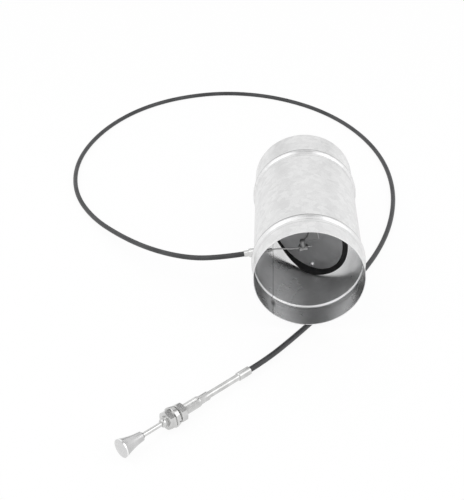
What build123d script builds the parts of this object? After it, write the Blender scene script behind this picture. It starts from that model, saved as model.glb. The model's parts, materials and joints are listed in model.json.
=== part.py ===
from build123d import *
import math
import os

# Butterfly damper in a round duct sleeve, worked by a pull knob on a sheathed control cable.
# Millimetres, +Z up. The sleeve lies on the floor with its mouth towards -Y, and its mouth is lifted a
# little by the cable that passes under it. The origin is on the floor under the middle of the sleeve.

# Duct sleeve: rolled sheet with a bead near each end
SLEEVE_DIAMETER = 100.0
SLEEVE_LENGTH = 190.0
SLEEVE_SHEET = 0.6
BEAD_HEIGHT = 2.1
BEAD_WIDTH = 7.0
BEAD_FOOT_RADIUS = 1.2
FRONT_BEAD = 26.1
REAR_BEAD = 152.0
SLEEVE_ROLL = 11.65

# Blade: a rubber disc between two steel discs, turning on two stub pins
PIVOT_SETBACK = 86.8
REST_OPENING = 40.3
DISC_SHEET = 0.7
SEAL_THICKNESS = 2.0
SEAL_LIP = 5.0
SEAL_CLEARANCE = 0.25
PIN_DIAMETER = 3.0
PIN_RUNNING_CLEARANCE = 0.05
PIN_TONGUE_WIDTH = 5.0
PIN_TONGUE_LENGTH = 11.0
PIN_DISC_GAP = 0.4
PIN_NOTCH_CLEARANCE = 0.2
RIVET_DIAMETER = 2.4
RIVET_HEAD_DIAMETER = 4.6
RIVET_HEAD_HEIGHT = 1.4
RIVET_CROWN_SHARE = 0.8
RIVET_HOLE_CLEARANCE = 0.05
PIVOT_RIVET_INSET = 4.2

# Lever on the blade's front face, and the clamp that holds the wire at its tip
LEVER_STANDOFF = 23.8
LEVER_SIDE = 14.9
LEVER_SHEET = 1.2
LEVER_ROOT_DROP = 6.5
LEVER_ROOT_TOP = 17.0
LEVER_TIP_RUN = 6.5
LEVER_FOOT_START = 5.0
LEVER_FOOT_WIDTH = 9.0
LEVER_BEND_RADIUS = 0.9
LEVER_RIVET_SPACING = 6.0
LEVER_EYE_DIAMETER = 5.4
LEVER_EYE_HEIGHT = 5.0
CLAMP_LENGTH = 8.4
CLAMP_WIDTH = 4.6
CLAMP_HEIGHT = 4.4
CLAMP_EDGE = 0.4
CLAMP_STUD_DIAMETER = 3.0
CLAMP_STUD_HEAD = 4.6
CLAMP_STUD_HEAD_HEIGHT = 0.8
SCREW_DIAMETER = 2.4
SCREW_HEAD_DIAMETER = 3.2
SCREW_HEAD_HEIGHT = 1.3
SCREW_SLOT_WIDTH = 0.7
SCREW_SLOT_DEPTH = 0.8
SCREW_SPACING = 4.2

# Control cable: inner wire, sheath, and the ferrule that brings it through the sleeve's wall
WIRE_DIAMETER = 1.4
WIRE_CLEARANCE = 0.1
WIRE_TAIL = 4.0
WIRE_DROP = 2.6
WIRE_BEND_RADIUS = 20.0
WIRE_BEND_OFFSET = 2.0
CABLE_DIAMETER = 5.0
CABLE_CLEARANCE = 0.7
FIT_CLEARANCE = 0.05
INLET_CAP_DIAMETER = 6.2
INLET_CAP_LENGTH = 4.2
INLET_COLLAR_DIAMETER = 8.4
INLET_COLLAR_LENGTH = 5.8
INLET_SHANK_DIAMETER = 5.6
INLET_SHANK_REACH = 6.5
INLET_NOZZLE_DIAMETER = 3.2
INLET_NOZZLE_LENGTH = 9.4
INLET_EDGE = 0.5
INLET_NUT_FLATS = 9.0
INLET_NUT_THICKNESS = 3.0
CABLE_EXIT_RUN = 22.0
ARC_SHARE = 0.45

# Pull fitting at the cable's far end
FITTING_START = (-51.8, -161.0, 6.0)
FITTING_HEADING = -134.1
CRIMP_DIAMETER = 7.6
CRIMP_LENGTH = 13.4
CRIMP_EDGE = 0.4
TUBE_DIAMETER = 5.8
TUBE_LENGTH = 35.4
TUBE_BORE_CLEARANCE = 0.1
TAPER_DIAMETER = 7.6
TAPER_LENGTH = 10.7
TAPER_CONE_LENGTH = 2.0
BARREL_DIAMETER = 9.4
BARREL_LENGTH = 36.1
BARREL_EDGE = 0.6
NOSE_DIAMETER = 7.6
NOSE_LENGTH = 3.7
NOSE_ROUND = 1.6
NUT_FLATS = 15.0
NUT_THICKNESS = 6.0
NUT_SIDES = 6
NUT_CHAMFER_SLOPE = 0.8
NUT_TURN = 44.0
THREAD_CLEARANCE = 0.1
REAR_NUT_SETBACK = 17.2
PANEL_GAP = 2.0
WASHER_DIAMETER = 18.0
WASHER_THICKNESS = 2.0
WASHER_EDGE = 0.3
LOCK_WASHER_DIAMETER = 16.8
LOCK_WASHER_THICKNESS = 2.0
LOCK_WASHER_SPLIT = 1.2
ROD_DIAMETER = 4.0
ROD_OUT_AT_REST = 19.2
ROD_HELD_LENGTH = 37.0
ROD_KNOB_DEPTH = 9.0
KNOB_LENGTH = 22.8
KNOB_COLLAR_DIAMETER = 5.4
KNOB_COLLAR_LENGTH = 1.2
KNOB_NECK_DIAMETER = 8.0
KNOB_MIDDLE_DIAMETER = 10.6
KNOB_HEAD_DIAMETER = 16.0
KNOB_RIM = 1.3
KNOB_DOME = 1.2

# Cuts run this far past the wall that they go through
CUT_MARGIN = 5.0

# Shared radii
sleeve_radius = SLEEVE_DIAMETER / 2
bore_radius = sleeve_radius - SLEEVE_SHEET
bead_radius = sleeve_radius + BEAD_HEIGHT
seal_radius = bore_radius - SEAL_CLEARANCE
disc_radius = seal_radius - SEAL_LIP
wire_radius = WIRE_DIAMETER / 2
wire_bore_radius = wire_radius + WIRE_CLEARANCE

# Sleeve frame: x across the wire's way, y from the mouth to the rear, z up the pivot
tilt = math.asin((CABLE_DIAMETER + CABLE_CLEARANCE - BEAD_HEIGHT) / REAR_BEAD)
roll = math.radians(SLEEVE_ROLL)
along = Vector(0, math.cos(tilt), -math.sin(tilt))
upright = Vector(0, math.sin(tilt), math.cos(tilt))
sideways = Vector(1, 0, 0)
across = sideways * math.cos(roll) + upright * math.sin(roll)
pivot_up = upright * math.cos(roll) - sideways * math.sin(roll)
mouth_height = REAR_BEAD * math.sin(tilt) + bead_radius * math.cos(tilt)
mouth = Vector(0, -SLEEVE_LENGTH / 2 * math.cos(tilt), mouth_height)
sleeve_frame = Plane(origin=mouth, x_dir=across, z_dir=pivot_up)

# Blade frame: x across the blade, y up the pivot, z out of its front face
opening = math.radians(REST_OPENING)
pivot_point = mouth + along * PIVOT_SETBACK
blade_front = across * -math.sin(opening) - along * math.cos(opening)
blade_side = across * math.cos(opening) - along * math.sin(opening)
blade_frame = Plane(origin=pivot_point, x_dir=blade_side, z_dir=blade_front)
blade_half = SEAL_THICKNESS / 2 + DISC_SHEET

# Wire line: across the sleeve from the inlet, and a little lower at the lever's tip
tip_across = LEVER_SIDE * math.cos(opening) - LEVER_STANDOFF * math.sin(opening)
tip_ahead = LEVER_SIDE * math.sin(opening) + LEVER_STANDOFF * math.cos(opening)
wire_middle = pivot_point - along * tip_ahead
clamp_middle = wire_middle + across * tip_across - pivot_up * WIRE_DROP
clamp_frame = Plane(origin=clamp_middle, x_dir=across, z_dir=pivot_up)
inlet_frame = Plane(origin=wire_middle, x_dir=pivot_up, z_dir=-across)

# Stations out along the inlet, from the sleeve's axis
collar_seat = sleeve_radius + FIT_CLEARANCE
cap_seat = collar_seat + INLET_COLLAR_LENGTH
inlet_end = cap_seat + INLET_CAP_LENGTH
shank_end = bore_radius - INLET_SHANK_REACH
nozzle_end = shank_end - INLET_NOZZLE_LENGTH

# Pull fitting: its axis rises from the crimp so that the washer's rim stands on the floor
taper_start = CRIMP_LENGTH + TUBE_LENGTH
barrel_start = taper_start + TAPER_LENGTH
nose_start = barrel_start + BARREL_LENGTH
nose_end = nose_start + NOSE_LENGTH
rear_nut_start = barrel_start + REAR_NUT_SETBACK
lock_washer_start = rear_nut_start + NUT_THICKNESS + PANEL_GAP
flat_washer_start = lock_washer_start + LOCK_WASHER_THICKNESS
front_nut_start = flat_washer_start + WASHER_THICKNESS
knob_start = nose_end + ROD_OUT_AT_REST
rod_radius = ROD_DIAMETER / 2
rod_bore_radius = rod_radius + FIT_CLEARANCE
tube_bore_radius = rod_radius + TUBE_BORE_CLEARANCE
rise = math.asin((WASHER_DIAMETER / 2 - FITTING_START[2]) / flat_washer_start)
heading = math.radians(FITTING_HEADING)
fitting_level = Vector(math.cos(heading), math.sin(heading), 0)
fitting_axis = fitting_level * math.cos(rise) + Vector(0, 0, math.sin(rise))
fitting_side = Vector(-math.sin(heading), math.cos(heading), 0)
fitting_frame = Plane(origin=FITTING_START, x_dir=fitting_side, z_dir=fitting_axis)
fitting_section = Plane(origin=FITTING_START, x_dir=fitting_side, z_dir=fitting_side.cross(fitting_axis))

# Cable route: out of the inlet, down to the floor, round in one loose loop and under the sleeve's mouth
floor_height = CABLE_DIAMETER / 2
cable_exit = wire_middle - across * inlet_end
cable_route = [
    cable_exit,
    cable_exit - across * CABLE_EXIT_RUN,
    Vector(-112, -28, 30),
    Vector(-150, -1, 20),
    Vector(-187, 38, 9.5),
    Vector(-225, 84, floor_height),
    Vector(-252, 133, floor_height),
    Vector(-263, 192, floor_height),
    Vector(-257, 252, floor_height),
    Vector(-236, 309, floor_height),
    Vector(-203, 356, floor_height),
    Vector(-158, 390, floor_height),
    Vector(-101, 408, floor_height),
    Vector(-42, 402, floor_height),
    Vector(13, 374, floor_height),
    Vector(55, 332, floor_height),
    Vector(85, 279, floor_height),
    Vector(102, 220, floor_height),
    Vector(106, 157, floor_height),
    Vector(98, 96, floor_height),
    Vector(81, 40, floor_height),
    Vector(57, -9, floor_height),
    Vector(31, -51, floor_height),
    Vector(6, -86, floor_height),
    Vector(-14, -113.5, floor_height),
    Vector(*FITTING_START) - fitting_axis * CABLE_EXIT_RUN,
    Vector(*FITTING_START),
]


def corner_radii(points):
    """Radius of each corner of a route: as large as the shorter of its two runs allows."""
    radii = []
    for before, corner, after in zip(points, points[1:], points[2:]):
        shorter = min((corner - before).length, (after - corner).length)
        turn = math.radians((corner - before).get_angle(after - corner))
        radii.append(ARC_SHARE * shorter / math.tan(turn / 2))
    return radii


def wall_face(radius, crest, half_width):
    """Lines of one face of the sleeve's wall, from the mouth to the rear, with its two beads."""
    start = 0
    for bead in (FRONT_BEAD, REAR_BEAD):
        Line((radius, start), (radius, bead - half_width))
        ThreePointArc((radius, bead - half_width), (crest, bead), (radius, bead + half_width))
        start = bead + half_width
    Line((radius, start), (radius, SLEEVE_LENGTH))


def write(builder, name):
    """Label a finished piece and write it to its own file."""
    builder.part.label = name
    export_step(builder.part, f"parts/{name}.step")


os.makedirs("parts", exist_ok=True)

# Duct sleeve, with its pivot holes and the inlet's hole
bead_curve = ((BEAD_WIDTH / 2) ** 2 + BEAD_HEIGHT**2) / (2 * BEAD_HEIGHT)
groove_curve = bead_curve - SLEEVE_SHEET
groove_half = math.sqrt(groove_curve**2 - (groove_curve - BEAD_HEIGHT) ** 2)
with BuildPart() as duct_sleeve:
    with BuildSketch(sleeve_frame) as wall:
        with BuildLine():
            wall_face(sleeve_radius, bead_radius, BEAD_WIDTH / 2)
            wall_face(bore_radius, bead_radius - SLEEVE_SHEET, groove_half)
            Line((bore_radius, 0), (sleeve_radius, 0))
            Line((bore_radius, SLEEVE_LENGTH), (sleeve_radius, SLEEVE_LENGTH))
        make_face()
        fillet([v for v in wall.vertices() if 0 < v.Y < SLEEVE_LENGTH], radius=BEAD_FOOT_RADIUS)
    revolve(axis=Axis(mouth, along))
    with BuildSketch(Plane(origin=pivot_point, x_dir=across, z_dir=pivot_up)):
        Circle(PIN_DIAMETER / 2 + PIN_RUNNING_CLEARANCE)
    extrude(amount=sleeve_radius + CUT_MARGIN, both=True, mode=Mode.SUBTRACT)
    with BuildSketch(inlet_frame):
        Circle(INLET_SHANK_DIAMETER / 2 + FIT_CLEARANCE)
    extrude(amount=sleeve_radius + CUT_MARGIN, mode=Mode.SUBTRACT)
write(duct_sleeve, "duct_sleeve")

# Rivet places on the blade, in the blade frame
rivet_hole_radius = RIVET_DIAMETER / 2 + RIVET_HOLE_CLEARANCE
pivot_rivet_radius = disc_radius - PIVOT_RIVET_INSET
pivot_rivet_places = [(0, pivot_rivet_radius), (0, -pivot_rivet_radius)]
eye_foot = CLAMP_HEIGHT / 2 - WIRE_DROP + FIT_CLEARANCE
eye_top = eye_foot + LEVER_EYE_HEIGHT
lever_foot_middle = (LEVER_FOOT_START + LEVER_ROOT_TOP) / 2
lever_rivet_side = LEVER_SIDE + LEVER_FOOT_WIDTH / 2
lever_rivet_places = [
    (lever_rivet_side, lever_foot_middle + LEVER_RIVET_SPACING / 2),
    (lever_rivet_side, lever_foot_middle - LEVER_RIVET_SPACING / 2),
]


def rivet_holes(places):
    """Cut the holes for a set of rivets out of the sketch that is open."""
    with Locations(*places):
        Circle(rivet_hole_radius, mode=Mode.SUBTRACT)


# Steel discs on both faces of the seal
with BuildPart() as front_disc:
    with BuildSketch(blade_frame.offset(SEAL_THICKNESS / 2)):
        Circle(disc_radius)
        rivet_holes(pivot_rivet_places + lever_rivet_places)
    extrude(amount=DISC_SHEET)
write(front_disc, "front_disc")

with BuildPart() as rear_disc:
    with BuildSketch(blade_frame.offset(-SEAL_THICKNESS / 2)):
        Circle(disc_radius)
        rivet_holes(pivot_rivet_places + lever_rivet_places)
    extrude(amount=-DISC_SHEET)
write(rear_disc, "rear_disc")

# Rubber seal, notched for the two pivot pins
journal_start = disc_radius + PIN_DISC_GAP
tongue_end = journal_start - PIN_TONGUE_LENGTH
notch_end = tongue_end - PIN_NOTCH_CLEARANCE
notch_middle = (notch_end + sleeve_radius) / 2
with BuildPart() as seal_disc:
    with BuildSketch(blade_frame.offset(-SEAL_THICKNESS / 2)):
        Circle(seal_radius)
        rivet_holes(lever_rivet_places)
        with Locations((0, notch_middle), (0, -notch_middle)):
            Rectangle(
                PIN_TONGUE_WIDTH + 2 * PIN_NOTCH_CLEARANCE,
                sleeve_radius - notch_end,
                mode=Mode.SUBTRACT,
            )
    extrude(amount=SEAL_THICKNESS)
write(seal_disc, "seal_disc")


def pivot_pin(way):
    """Stub pin with a round journal in the sleeve's wall and a flat tongue between the discs."""
    outward = pivot_up * way
    tongue_plane = Plane(origin=pivot_point + outward * tongue_end, x_dir=blade_side, z_dir=outward)
    with BuildPart() as pin:
        with BuildSketch(tongue_plane):
            Rectangle(PIN_TONGUE_WIDTH, SEAL_THICKNESS)
        extrude(amount=PIN_TONGUE_LENGTH)
        with BuildSketch(tongue_plane.offset(PIN_TONGUE_LENGTH)):
            Circle(PIN_DIAMETER / 2)
        extrude(amount=sleeve_radius - journal_start)
        rivet_axis = Plane(origin=pivot_point + outward * pivot_rivet_radius, z_dir=blade_front)
        with BuildSketch(rivet_axis):
            Circle(rivet_hole_radius)
        extrude(amount=SEAL_THICKNESS, both=True, mode=Mode.SUBTRACT)
    return pin


write(pivot_pin(1), "upper_pivot_pin")
write(pivot_pin(-1), "lower_pivot_pin")


def rivet_set(places, front_seat):
    """Rivets through the blade: domed heads on the front seat and on the rear disc."""
    with BuildPart() as rivets:
        with BuildSketch(blade_frame.offset(-blade_half)):
            with Locations(*places):
                Circle(RIVET_DIAMETER / 2)
        extrude(amount=blade_half + front_seat)
        for seat, way in ((front_seat, 1), (-blade_half, -1)):
            with BuildSketch(blade_frame.offset(seat)):
                with Locations(*places):
                    Circle(RIVET_HEAD_DIAMETER / 2)
            extrude(amount=way * RIVET_HEAD_HEIGHT)
            crown = rivets.edges().group_by(Axis(pivot_point, blade_front * way))[-1]
            fillet(crown, radius=RIVET_HEAD_HEIGHT * RIVET_CROWN_SHARE)
    return rivets


write(rivet_set(pivot_rivet_places, blade_half), "pivot_rivets")
write(rivet_set(lever_rivet_places, blade_half + LEVER_SHEET), "lever_rivets")

# Lever arm: a folded bracket, its foot on the front disc, its plate on edge, and an eye at its tip
lever_plane = Plane(
    origin=pivot_point + blade_side * (LEVER_SIDE + LEVER_SHEET / 2), x_dir=blade_front, z_dir=-blade_side
)
foot_left = LEVER_SIDE - LEVER_SHEET / 2
eye_frame = Plane(origin=wire_middle + across * tip_across, x_dir=across, z_dir=pivot_up)
stud_hole_radius = CLAMP_STUD_DIAMETER / 2 + FIT_CLEARANCE
with BuildPart() as lever_arm:
    with BuildSketch(lever_plane):
        with BuildLine():
            Polyline(
                (blade_half, -LEVER_ROOT_DROP),
                (LEVER_STANDOFF - LEVER_TIP_RUN, eye_foot),
                (LEVER_STANDOFF, eye_foot),
                (LEVER_STANDOFF, eye_top),
                (LEVER_STANDOFF - LEVER_TIP_RUN, eye_top),
                (blade_half, LEVER_ROOT_TOP),
                close=True,
            )
        make_face()
    extrude(amount=LEVER_SHEET)
    with BuildSketch(blade_frame.offset(blade_half)):
        with Locations((foot_left + LEVER_FOOT_WIDTH / 2, lever_foot_middle)):
            Rectangle(LEVER_FOOT_WIDTH, LEVER_ROOT_TOP - LEVER_FOOT_START)
        rivet_holes(lever_rivet_places)
    extrude(amount=LEVER_SHEET)
    bend_middle = (
        pivot_point
        + blade_side * (foot_left + LEVER_SHEET)
        + pivot_up * lever_foot_middle
        + blade_front * (blade_half + LEVER_SHEET)
    )
    folds = lever_arm.edges().filter_by(Axis(pivot_point, pivot_up))
    fillet(folds.sort_by_distance(bend_middle)[0], radius=LEVER_BEND_RADIUS)
    with BuildSketch(eye_frame.offset(eye_foot)):
        Circle(LEVER_EYE_DIAMETER / 2)
    extrude(amount=LEVER_EYE_HEIGHT)
    with BuildSketch(eye_frame.offset(eye_foot)):
        Circle(stud_hole_radius)
    extrude(amount=LEVER_EYE_HEIGHT, mode=Mode.SUBTRACT)
write(lever_arm, "lever_arm")

# Wire clamp: a small block under the lever's eye, its stud headed over on top
screw_places = [(SCREW_SPACING / 2, 0), (-SCREW_SPACING / 2, 0)]
screw_frame = Plane(origin=clamp_frame.origin, x_dir=across, z_dir=-along)
clamp_top = CLAMP_HEIGHT / 2
stud_top = clamp_top + LEVER_EYE_HEIGHT + 2 * FIT_CLEARANCE
with BuildPart() as wire_clamp:
    with BuildSketch(clamp_frame.offset(-clamp_top)):
        Rectangle(CLAMP_LENGTH, CLAMP_WIDTH)
    extrude(amount=CLAMP_HEIGHT)
    chamfer(wire_clamp.edges().filter_by(Axis(pivot_point, pivot_up)), length=CLAMP_EDGE)
    with BuildSketch(clamp_frame.offset(clamp_top)):
        Circle(CLAMP_STUD_DIAMETER / 2)
    extrude(amount=stud_top - clamp_top)
    with BuildSketch(clamp_frame.offset(stud_top)):
        Circle(CLAMP_STUD_HEAD / 2)
    extrude(amount=CLAMP_STUD_HEAD_HEIGHT)
    with BuildSketch(Plane(origin=clamp_frame.origin, x_dir=pivot_up, z_dir=across)):
        Circle(wire_bore_radius)
    extrude(amount=CLAMP_LENGTH, both=True, mode=Mode.SUBTRACT)
    with BuildSketch(screw_frame):
        with Locations(*screw_places):
            Circle(SCREW_DIAMETER / 2 + FIT_CLEARANCE)
    extrude(amount=CLAMP_WIDTH, mode=Mode.SUBTRACT)
write(wire_clamp, "wire_clamp")

# Clamp screws: slotted, driven from the mouth, their points on the wire
clamp_face = CLAMP_WIDTH / 2
with BuildPart() as clamp_screws:
    with BuildSketch(screw_frame.offset(wire_radius)):
        with Locations(*screw_places):
            Circle(SCREW_DIAMETER / 2)
    extrude(amount=clamp_face - wire_radius)
    with BuildSketch(screw_frame.offset(clamp_face)):
        with Locations(*screw_places):
            Circle(SCREW_HEAD_DIAMETER / 2)
    extrude(amount=SCREW_HEAD_HEIGHT)
    with BuildSketch(screw_frame.offset(clamp_face + SCREW_HEAD_HEIGHT)):
        with Locations(*screw_places):
            Rectangle(SCREW_SLOT_WIDTH, SCREW_HEAD_DIAMETER + FIT_CLEARANCE)
    extrude(amount=-SCREW_SLOT_DEPTH, mode=Mode.SUBTRACT)
write(clamp_screws, "clamp_screws")

# Inner wire from the ferrule's bore at the sleeve's wall to just past the clamp, with two slight bends
wire_start = wire_middle - across * collar_seat
wire_route = [
    wire_start,
    wire_middle - across * (nozzle_end - WIRE_BEND_OFFSET),
    clamp_middle - across * (CLAMP_LENGTH / 2 + WIRE_BEND_OFFSET),
    clamp_middle + across * (CLAMP_LENGTH / 2 + WIRE_TAIL),
]
with BuildPart() as control_wire:
    with BuildLine() as wire_line:
        FilletPolyline(*wire_route, radius=WIRE_BEND_RADIUS)
    with BuildSketch(Plane(origin=wire_start, z_dir=across)):
        Circle(wire_radius)
    sweep(path=wire_line.wires()[0])
write(control_wire, "control_wire")


def round_length(start, end, diameter, mode=Mode.ADD):
    """A round stretch of a turned piece, or its bore, between two stations along its own axis."""
    with Locations((0, 0, start)):
        Cylinder(diameter / 2, end - start, align=(Align.CENTER, Align.CENTER, Align.MIN), mode=mode)


# Inlet ferrule: a cap on the sheath's end, a collar on the wall, and a shank with a nozzle inside
with BuildPart(inlet_frame) as inlet_ferrule:
    round_length(nozzle_end, shank_end, INLET_NOZZLE_DIAMETER)
    round_length(shank_end, collar_seat, INLET_SHANK_DIAMETER)
    round_length(collar_seat, cap_seat, INLET_COLLAR_DIAMETER)
    round_length(cap_seat, inlet_end, INLET_CAP_DIAMETER)
    collar_rim = inlet_ferrule.edges().filter_by(GeomType.CIRCLE).group_by(SortBy.RADIUS)[-1]
    chamfer(collar_rim.sort_by(Axis(wire_middle, -across))[-1], length=INLET_EDGE)
    round_length(nozzle_end, inlet_end, 2 * wire_bore_radius, Mode.SUBTRACT)
write(inlet_ferrule, "inlet_ferrule")


def hex_nut(frame, start, flats, thickness, bore_diameter, turn):
    """A hexagon nut with both faces chamfered, from a station of its frame."""
    face_radius = flats / 2
    corner_radius = face_radius / math.cos(math.pi / NUT_SIDES)
    slope = (corner_radius - face_radius) * NUT_CHAMFER_SLOPE
    with BuildPart(frame) as nut:
        with BuildSketch(frame.offset(start)):
            RegularPolygon(radius=corner_radius, side_count=NUT_SIDES, rotation=turn)
        extrude(amount=thickness)
        section = Plane(
            origin=frame.offset(start).origin, x_dir=frame.x_dir, z_dir=frame.x_dir.cross(frame.z_dir)
        )
        with BuildSketch(section):
            with BuildLine():
                Polyline(
                    (0, 0),
                    (face_radius, 0),
                    (corner_radius, slope),
                    (corner_radius, thickness - slope),
                    (face_radius, thickness),
                    (0, thickness),
                    close=True,
                )
            make_face()
        revolve(axis=Axis(frame.origin, frame.z_dir), mode=Mode.INTERSECT)
        round_length(start, start + thickness, bore_diameter, Mode.SUBTRACT)
    return nut


# Inlet lock nut, seated by its corners on the inside of the wall
inlet_nut_corner = INLET_NUT_FLATS / 2 / math.cos(math.pi / NUT_SIDES)
inlet_nut_seat = math.sqrt(bore_radius**2 - inlet_nut_corner**2) - FIT_CLEARANCE
write(
    hex_nut(
        inlet_frame,
        inlet_nut_seat - INLET_NUT_THICKNESS,
        INLET_NUT_FLATS,
        INLET_NUT_THICKNESS,
        INLET_SHANK_DIAMETER + 2 * FIT_CLEARANCE,
        0,
    ),
    "inlet_nut",
)

# Cable sheath, laid along its route
cable_radii = corner_radii(cable_route)
print("cable corner radii:", [round(radius) for radius in cable_radii])
with BuildPart() as cable_sheath:
    with BuildLine() as cable_line:
        FilletPolyline(*cable_route, radius=cable_radii)
    with BuildSketch(Plane(origin=cable_exit, z_dir=-across)):
        Circle(CABLE_DIAMETER / 2)
    sweep(path=cable_line.wires()[0])
cable_length = cable_line.wires()[0].length
cable_section = math.pi * CABLE_DIAMETER**2 / 4
cable_share = cable_sheath.part.volume / (cable_section * cable_length)
print("cable length:", round(cable_length, 1), "volume over section times length:", round(cable_share, 4))
write(cable_sheath, "cable_sheath")

# Crimp ferrule between the sheath and the guide tube
with BuildPart(fitting_frame) as crimp_ferrule:
    round_length(0, CRIMP_LENGTH, CRIMP_DIAMETER)
    chamfer(crimp_ferrule.edges().filter_by(GeomType.CIRCLE), length=CRIMP_EDGE)
write(crimp_ferrule, "crimp_ferrule")

with BuildPart(fitting_frame) as guide_tube:
    round_length(CRIMP_LENGTH, taper_start, TUBE_DIAMETER)
    round_length(CRIMP_LENGTH, taper_start, 2 * tube_bore_radius, Mode.SUBTRACT)
write(guide_tube, "guide_tube")

# Threaded barrel with a narrow shoulder behind and a rounded nose in front
with BuildPart() as threaded_barrel:
    with BuildSketch(fitting_section) as barrel_profile:
        with BuildLine():
            Polyline(
                (rod_bore_radius, taper_start),
                (TAPER_DIAMETER / 2, taper_start),
                (TAPER_DIAMETER / 2, barrel_start - TAPER_CONE_LENGTH),
                (BARREL_DIAMETER / 2, barrel_start),
                (BARREL_DIAMETER / 2, nose_start - BARREL_EDGE),
                (BARREL_DIAMETER / 2 - BARREL_EDGE, nose_start),
                (NOSE_DIAMETER / 2, nose_start),
                (NOSE_DIAMETER / 2, nose_end),
                (rod_bore_radius, nose_end),
                close=True,
            )
        make_face()
        fillet(barrel_profile.vertices().group_by(Axis.Y)[-1].sort_by(Axis.X)[-1], radius=NOSE_ROUND)
    revolve(axis=Axis(fitting_frame.origin, fitting_axis))
write(threaded_barrel, "threaded_barrel")

# Panel nuts and washers on the barrel
thread_bore = BARREL_DIAMETER + 2 * THREAD_CLEARANCE
for name, station in (("rear_nut", rear_nut_start), ("front_nut", front_nut_start)):
    write(hex_nut(fitting_frame, station, NUT_FLATS, NUT_THICKNESS, thread_bore, NUT_TURN), name)

with BuildPart(fitting_frame) as lock_washer:
    round_length(lock_washer_start, flat_washer_start, LOCK_WASHER_DIAMETER)
    round_length(lock_washer_start, flat_washer_start, thread_bore, Mode.SUBTRACT)
    with BuildSketch(fitting_frame.offset(lock_washer_start)):
        with Locations((LOCK_WASHER_DIAMETER / 2, 0)):
            Rectangle(LOCK_WASHER_DIAMETER, LOCK_WASHER_SPLIT)
    extrude(amount=LOCK_WASHER_THICKNESS, mode=Mode.SUBTRACT)
write(lock_washer, "lock_washer")

with BuildPart(fitting_frame) as flat_washer:
    round_length(flat_washer_start, front_nut_start, WASHER_DIAMETER)
    chamfer(flat_washer.edges().filter_by(GeomType.CIRCLE), length=WASHER_EDGE)
    round_length(flat_washer_start, front_nut_start, thread_bore, Mode.SUBTRACT)
write(flat_washer, "flat_washer")

# Pull rod and its trumpet-shaped knob
with BuildPart(fitting_frame) as pull_rod:
    round_length(nose_end - ROD_HELD_LENGTH, knob_start + ROD_KNOB_DEPTH, ROD_DIAMETER)
write(pull_rod, "pull_rod")

knob_rim_start = knob_start + KNOB_LENGTH - KNOB_DOME - KNOB_RIM
knob_face = knob_start + KNOB_LENGTH
knob_neck_start = knob_start + KNOB_COLLAR_LENGTH
with BuildPart(fitting_frame) as pull_knob:
    with BuildSketch(fitting_section):
        with BuildLine():
            Polyline(
                (0, knob_start),
                (KNOB_COLLAR_DIAMETER / 2, knob_start),
                (KNOB_COLLAR_DIAMETER / 2, knob_neck_start),
                (KNOB_NECK_DIAMETER / 2, knob_neck_start),
            )
            ThreePointArc(
                (KNOB_NECK_DIAMETER / 2, knob_neck_start),
                (KNOB_MIDDLE_DIAMETER / 2, (knob_neck_start + knob_rim_start) / 2),
                (KNOB_HEAD_DIAMETER / 2, knob_rim_start),
            )
            Line((KNOB_HEAD_DIAMETER / 2, knob_rim_start), (KNOB_HEAD_DIAMETER / 2, knob_face - KNOB_DOME))
            RadiusArc(
                (KNOB_HEAD_DIAMETER / 2, knob_face - KNOB_DOME),
                (0, knob_face),
                -((KNOB_HEAD_DIAMETER / 2) ** 2 + KNOB_DOME**2) / (2 * KNOB_DOME),
            )
            Line((0, knob_face), (0, knob_start))
        make_face()
    revolve(axis=Axis(fitting_frame.origin, fitting_axis))
    round_length(knob_start, knob_start + ROD_KNOB_DEPTH, 2 * rod_bore_radius, Mode.SUBTRACT)
write(pull_knob, "pull_knob")
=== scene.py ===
import json
import math

import bmesh
import bpy
from mathutils import Matrix, Vector


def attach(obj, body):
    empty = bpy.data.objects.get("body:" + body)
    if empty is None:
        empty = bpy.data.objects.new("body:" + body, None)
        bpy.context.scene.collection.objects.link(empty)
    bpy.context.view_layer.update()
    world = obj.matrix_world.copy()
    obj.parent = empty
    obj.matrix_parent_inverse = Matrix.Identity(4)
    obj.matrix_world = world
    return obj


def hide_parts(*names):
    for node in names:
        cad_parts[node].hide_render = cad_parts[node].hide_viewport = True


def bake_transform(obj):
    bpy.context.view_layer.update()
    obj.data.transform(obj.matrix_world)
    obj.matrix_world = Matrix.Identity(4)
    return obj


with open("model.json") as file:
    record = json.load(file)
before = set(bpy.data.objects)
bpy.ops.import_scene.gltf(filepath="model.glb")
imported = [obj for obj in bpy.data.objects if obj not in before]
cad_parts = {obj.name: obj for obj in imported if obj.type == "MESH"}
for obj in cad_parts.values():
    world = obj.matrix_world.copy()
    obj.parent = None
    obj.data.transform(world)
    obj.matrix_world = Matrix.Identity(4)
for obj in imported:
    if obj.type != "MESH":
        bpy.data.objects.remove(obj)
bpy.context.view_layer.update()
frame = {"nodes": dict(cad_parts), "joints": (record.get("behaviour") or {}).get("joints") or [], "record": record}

# Cable-operated butterfly damper: finishes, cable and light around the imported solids.
# Lengths are in metres, in the frame of the solids, where a name doesn't say mm.

MM = 0.001

# Duct sleeve
SLEEVE_RADIUS = 50.0 * MM
SLEEVE_LENGTH = 190.0 * MM
SHEET = 0.6 * MM
BEADS = (26.1 * MM, 152.0 * MM)
BEAD_HEIGHT = 2.1 * MM
BEAD_WIDTH = 7.0 * MM
BEAD_FOOT = 1.2 * MM
BEAD_CURVE = ((BEAD_WIDTH / 2) ** 2 + BEAD_HEIGHT**2) / (2 * BEAD_HEIGHT)
CREASE_AHEAD = 7.6 * MM
CREASE_DEPTH = 0.12 * MM
CREASE_WIDTH = 0.55 * MM
RIM_ROUND = 0.15 * MM
SEAM_ANGLE = math.radians(231.0)
SEAM_DEPTH = 0.1 * MM
SEAM_WIDTH = 0.45 * MM
PIVOT_HOLE = 1.55 * MM
INLET_HOLE = 2.85 * MM

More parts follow.
